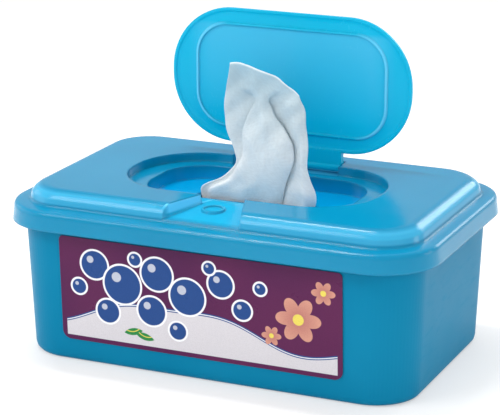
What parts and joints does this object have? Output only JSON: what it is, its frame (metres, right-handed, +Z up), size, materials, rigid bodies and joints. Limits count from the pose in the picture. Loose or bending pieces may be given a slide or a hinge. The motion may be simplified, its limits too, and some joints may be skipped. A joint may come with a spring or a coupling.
{
  "type": "wipes tub",
  "caption": "Blue plastic baby wipes tub with a lift-off lid, an oval flip lid on a pin hinge standing open, a printed front label and one wipe pulled up through the slot.",
  "frame": {"origin": "centre of the tub's base, on the surface that it stands on", "axes": "+Z up, +X to the right along the long side, the labelled front faces -Y"},
  "size_m": [0.2016, 0.1296, 0.1464],
  "materials": {
    "tub_plastic": "satin",
    "lid_plastic": "gloss",
    "flip_plastic": "gloss",
    "label_print": "satin",
    "wipe_cloth": "matte"
  },
  "bodies": {
    "tub": {"tub_body": "tub_plastic", "label": "label_print", "wipes_stack": "wipe_cloth"},
    "lid": {"lid": "lid_plastic", "pulled_wipe": "wipe_cloth"},
    "flip": {"flip_lid": "flip_plastic"}
  },
  "joints": [
    {"name": "lid_lift", "type": "slide", "parent": "tub", "child": "lid", "axis": [0, 0, 1], "range_m": [0, 0.08]},
    {"name": "flip_lid_hinge", "type": "hinge", "parent": "lid", "child": "flip", "pos_m": [0, 0.0388, 0.0756], "axis": [1, 0, 0], "range_deg": [-12, 90], "deforming": ["pulled_wipe"]}
  ]
}
